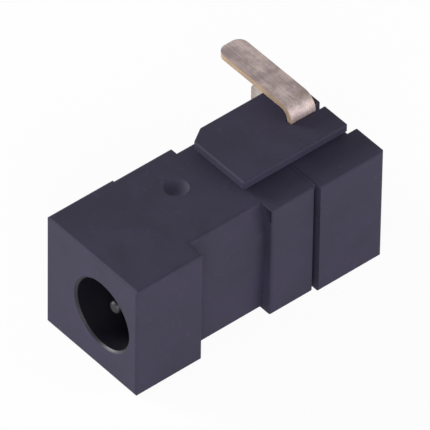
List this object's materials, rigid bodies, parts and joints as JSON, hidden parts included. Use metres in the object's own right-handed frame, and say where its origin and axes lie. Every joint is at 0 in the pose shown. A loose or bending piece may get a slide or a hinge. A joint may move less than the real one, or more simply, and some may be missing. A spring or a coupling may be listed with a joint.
{
  "type": "dc barrel jack",
  "caption": "Side-entry barrel jack in a black moulded housing, with a centre pin, a sleeve spring, a rear cover with a raised tongue and flat solder tails.",
  "frame": {"origin": "under the middle of the whole part, on the plane that its plain side lies on", "axes": "+Y runs from the mouth to the rear cover, -X is the board side that the solder tails leave through, +Z is the side with the raised tongue"},
  "size_m": [0.0098, 0.0156, 0.0082],
  "materials": {
    "black_plastic": "fine moulded texture",
    "tinned_strip": "tin-plated brass, satin",
    "plated_pin": "nickel-plated brass, turned",
    "spring_bronze": "rolled phosphor bronze, bare"
  },
  "bodies": {
    "root": {"housing": "black_plastic", "rear_cover": "black_plastic", "centre_pin": "plated_pin", "centre_terminal": "tinned_strip", "sleeve_contact": "spring_bronze", "switch_contact": "tinned_strip"}
  },
  "joints": []
}
